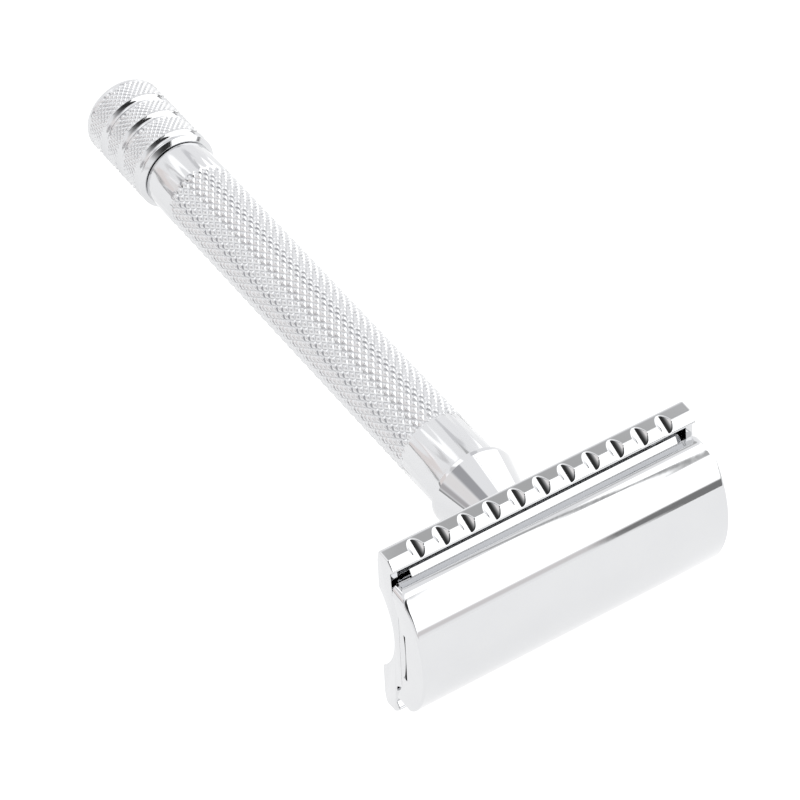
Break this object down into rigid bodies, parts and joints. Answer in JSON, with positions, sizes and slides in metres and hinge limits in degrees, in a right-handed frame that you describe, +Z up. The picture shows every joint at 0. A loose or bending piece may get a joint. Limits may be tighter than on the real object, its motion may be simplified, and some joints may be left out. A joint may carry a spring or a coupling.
{
  "type": "safety razor",
  "caption": "Long-handled double-edge safety razor with a knurled grip, scalloped guard bars, a domed cap over a bent blade, and an end knob that lifts the cap when turned.",
  "frame": {"origin": "bottom centre of the bounding box, on the surface that the razor lies on", "axes": "+X along the guard bars, +Y from the head towards the knob, +Z up from the surface. The razor lies on the lower guard bar and the knob rim, so the handle axis falls from the head to the knob by 4.40 degrees"},
  "size_m": [0.0434, 0.107, 0.0261],
  "materials": {
    "polished_chrome": "mirror polished chrome plating over die-cast metal",
    "knurled_chrome": "bright chrome plating over cut knurling, smooth bands polished",
    "blade_steel": "rolled stainless strip with ground edges",
    "turned_steel": "turned steel, bright",
    "spring_steel": "hardened spring steel, dull",
    "brass": "turned brass",
    "dark_nylon": "dark nylon"
  },
  "bodies": {
    "handle": {"base_plate": "polished_chrome", "neck_sleeve": "turned_steel", "collar": "polished_chrome", "handle_tube": "knurled_chrome", "front_bush": "brass", "rear_bush": "brass", "disc_spring": "spring_steel", "thrust_washer": "dark_nylon"},
    "knob_drive": {"knob": "knurled_chrome", "knob_screw": "turned_steel", "knob_plug": "polished_chrome", "drive_rod": "turned_steel", "rod_socket": "brass", "socket_pin": "turned_steel", "retaining_ring": "spring_steel", "seat_washer": "turned_steel"},
    "cap_assembly": {"cap": "polished_chrome", "cap_stud": "turned_steel", "cap_pins": "polished_chrome"},
    "loose_blade": {"blade": "blade_steel"}
  },
  "joints": [
    {"name": "knob_spin", "type": "hinge", "parent": "handle", "child": "knob_drive", "pos_m": [0, 0.03851, 0.00669], "axis": [0, 0.9971, -0.0767], "range_deg": [0, 2880]},
    {"name": "cap_lift", "type": "slide", "parent": "handle", "child": "cap_assembly", "axis": [0, -0.9971, 0.0767], "range_m": [0, 0.0065]},
    {"name": "blade_lift", "type": "slide", "parent": "handle", "child": "loose_blade", "axis": [0, -0.9971, 0.0767], "range_m": [0, 0.0033]}
  ],
  "couplings": [
    {"joint": "cap_lift", "follows": "knob_spin", "m_per_rad": 0.00012732},
    {"joint": "blade_lift", "follows": "knob_spin", "m_per_rad": 0.00006366}
  ]
}
